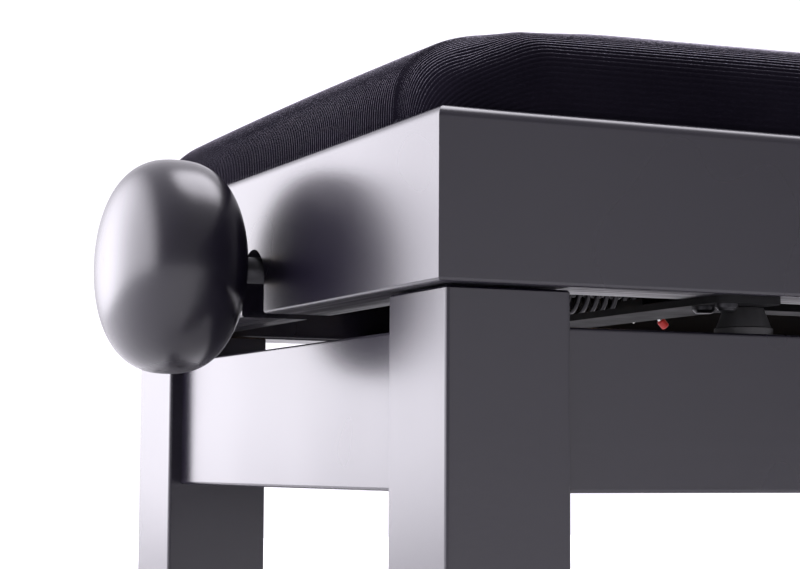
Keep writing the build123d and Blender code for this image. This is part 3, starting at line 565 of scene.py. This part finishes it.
def coil_spring():
    """Compression spring round the spindle, between the bearing plate and the nut bar."""
    low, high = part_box("assist_spring")
    axis_z = (high.z + low.z) / 2
    wire, pitch = 1.1 * MM, 4.3 * MM
    coil = (high.z - low.z) / 2 - wire
    start, end = low.x + wire, high.x - wire
    closed, per_turn, sides = 0.75, 28, 10
    flat = 2 * wire * closed
    turns = 2 * closed + (end - start - 2 * flat) / pitch
    turning = np.linspace(0, turns, int(turns * per_turn) + 1)
    marks = (0, closed, turns - closed, turns)
    stations = np.interp(turning, marks, (start, start + flat, end - flat, end))
    b = np.linspace(0, 2 * pi, sides, endpoint=False)[:, None]
    rings = []
    for x, a in zip(stations, 2 * pi * turning):
        outward = np.array([0, cos(a), sin(a)])
        tangent = np.array([pitch / (2 * pi * coil), -sin(a), cos(a)])
        side = np.cross(tangent / np.linalg.norm(tangent), outward)
        middle = np.array([x, 0, axis_z]) + coil * outward
        rings.append(middle + wire * (np.cos(b) * outward + np.sin(b) * side))
    piece = capped_tube(rings, "assist_spring_coil", MATERIALS["blackened_steel"])
    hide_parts("assist_spring")
    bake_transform(piece)


cushion()
threaded_spindle()
coil_spring()


# ---- studio ---------------------------------------------------------------------------------
# Direction of each light, the cosines its edge fades between, and its strength outside and inside.
LIGHTS = (
    ((0.0, 1.0, 0.0), -0.95, 0.2, 0.58, 1.35),
    ((-0.87, 0.49, 0.0), 0.46, 0.92, 0.0, 6.8),
    ((0.43, -0.9, 0.08), 0.975, 0.9995, 0.0, 1.1),
    ((0.35, 0.1, 0.93), 0.9, 0.985, 0.0, 7.5),
)


def floor():
    """Plain pale floor, just clear of the glides."""
    s = Shader("pale_floor", Base_Color=(0.8, 0.8, 0.8, 1))
    s.feed(s.bsdf.inputs["Roughness"], s.span(s.noise(3.0, 2.0), 0.6, 0.75))
    size, below = 8.0, 0.4 * MM
    corners = [(-size, -size, 0), (size, -size, 0), (size, size, 0), (-size, size, 0)]
    plane = mesh_piece("floor", corners, [(0, 1, 2, 3)], s.done())
    plane.location.z = -below


def sky():
    """Pale surround, brighter behind, with a window behind left, a small light at the front right
    and a soft one overhead."""
    world = bpy.data.worlds.new("studio")
    SCENE.world = world
    world.use_nodes = True
    tree = world.node_tree
    background = tree.nodes["Background"]
    background.inputs["Color"].default_value = (0.95, 0.92, 1.0, 1)
    around = tree.nodes.new("ShaderNodeTexCoord").outputs["Generated"]
    total = None
    for way, start, end, low, high in LIGHTS:
        toward = tree.nodes.new("ShaderNodeVectorMath")
        toward.operation = "DOT_PRODUCT"
        toward.inputs[1].default_value = Vector(way).normalized()
        tree.links.new(around, toward.inputs[0])
        lobe = tree.nodes.new("ShaderNodeMapRange")
        lobe.interpolation_type = "SMOOTHSTEP"
        for socket, value in zip(("From Min", "From Max", "To Min", "To Max"), (start, end, low, high)):
            lobe.inputs[socket].default_value = value
        tree.links.new(toward.outputs["Value"], lobe.inputs["Value"])
        if total is None:
            total = lobe.outputs["Result"]
            continue
        added = tree.nodes.new("ShaderNodeMath")
        tree.links.new(total, added.inputs[0])
        tree.links.new(lobe.outputs["Result"], added.inputs[1])
        total = added.outputs["Value"]
    tree.links.new(total, background.inputs["Strength"])


def camera():
    """The photograph's view: low, looking slightly up at the front left corner."""
    lens = bpy.data.cameras.new("camera")
    lens.lens = 91.462
    lens.sensor_width = 36
    viewer = bpy.data.objects.new("camera", lens)
    SCENE.collection.objects.link(viewer)
    right = Vector((0.91203, -0.41009, 0.00494))
    up = Vector((-0.0406, -0.0783, 0.9961))
    back = right.cross(up).normalized()
    up = back.cross(right)
    turned = Matrix((right, up, back)).transposed().to_4x4()
    stand = (-0.54147, -0.72405, 0.33700)
    viewer.matrix_world = Matrix.Translation(stand) @ turned
    SCENE.camera = viewer


floor()
sky()
camera()
SCENE.view_settings.view_transform = "Standard"
